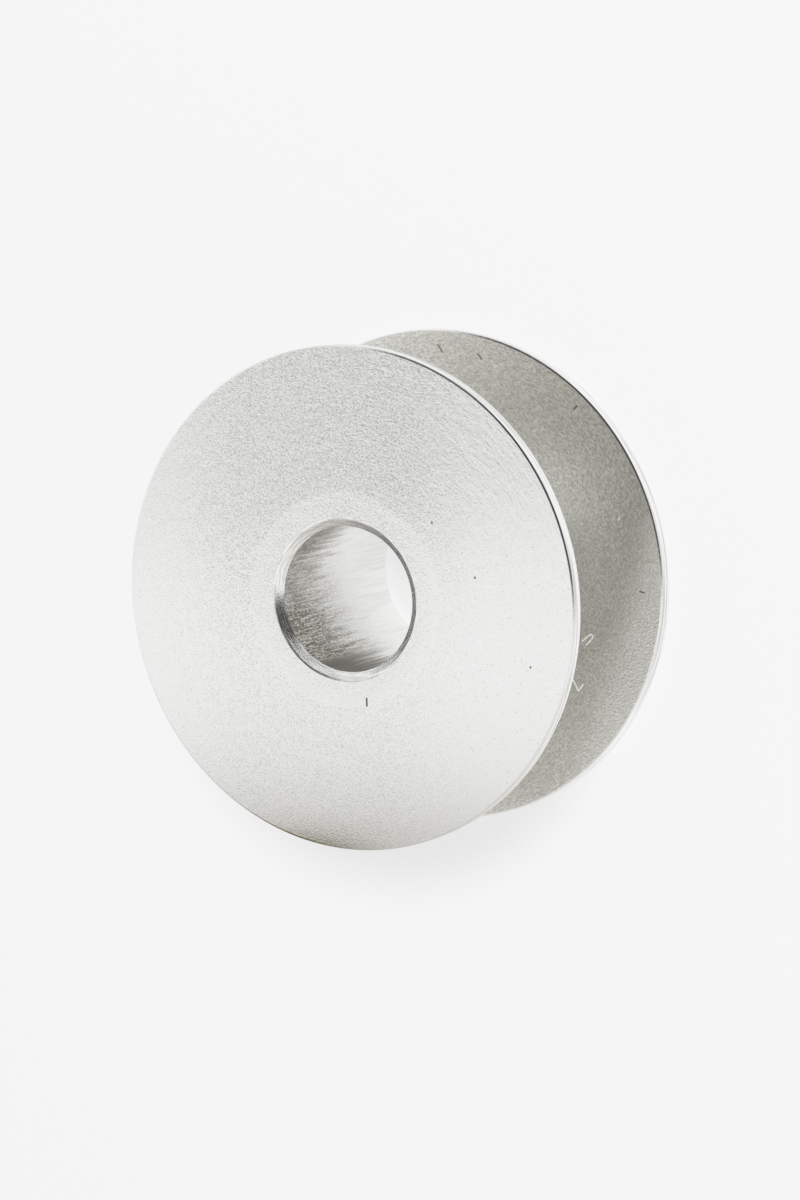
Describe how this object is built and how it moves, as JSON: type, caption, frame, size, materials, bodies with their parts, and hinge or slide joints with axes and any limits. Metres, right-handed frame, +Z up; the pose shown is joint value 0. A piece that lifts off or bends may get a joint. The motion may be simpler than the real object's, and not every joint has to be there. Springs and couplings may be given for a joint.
{
  "type": "sewing machine bobbin",
  "caption": "Small turned aluminium thread bobbin: two thin solid round flanges on a hub, with a plain bore right through and chamfered bore mouths.",
  "frame": {"origin": "centre of the lower hub face, on the axis, at the height of the surface the bobbin stands on", "axes": "+Z up along the bore, from the lower flange to the upper one; X and Y across the flanges, all directions across being alike"},
  "size_m": [0.021, 0.021, 0.0091],
  "materials": {
    "aluminium": "turned and tumbled, satin, with fine concentric tool lines and small pits"
  },
  "bodies": {
    "root": {"bobbin": "aluminium"}
  },
  "joints": []
}
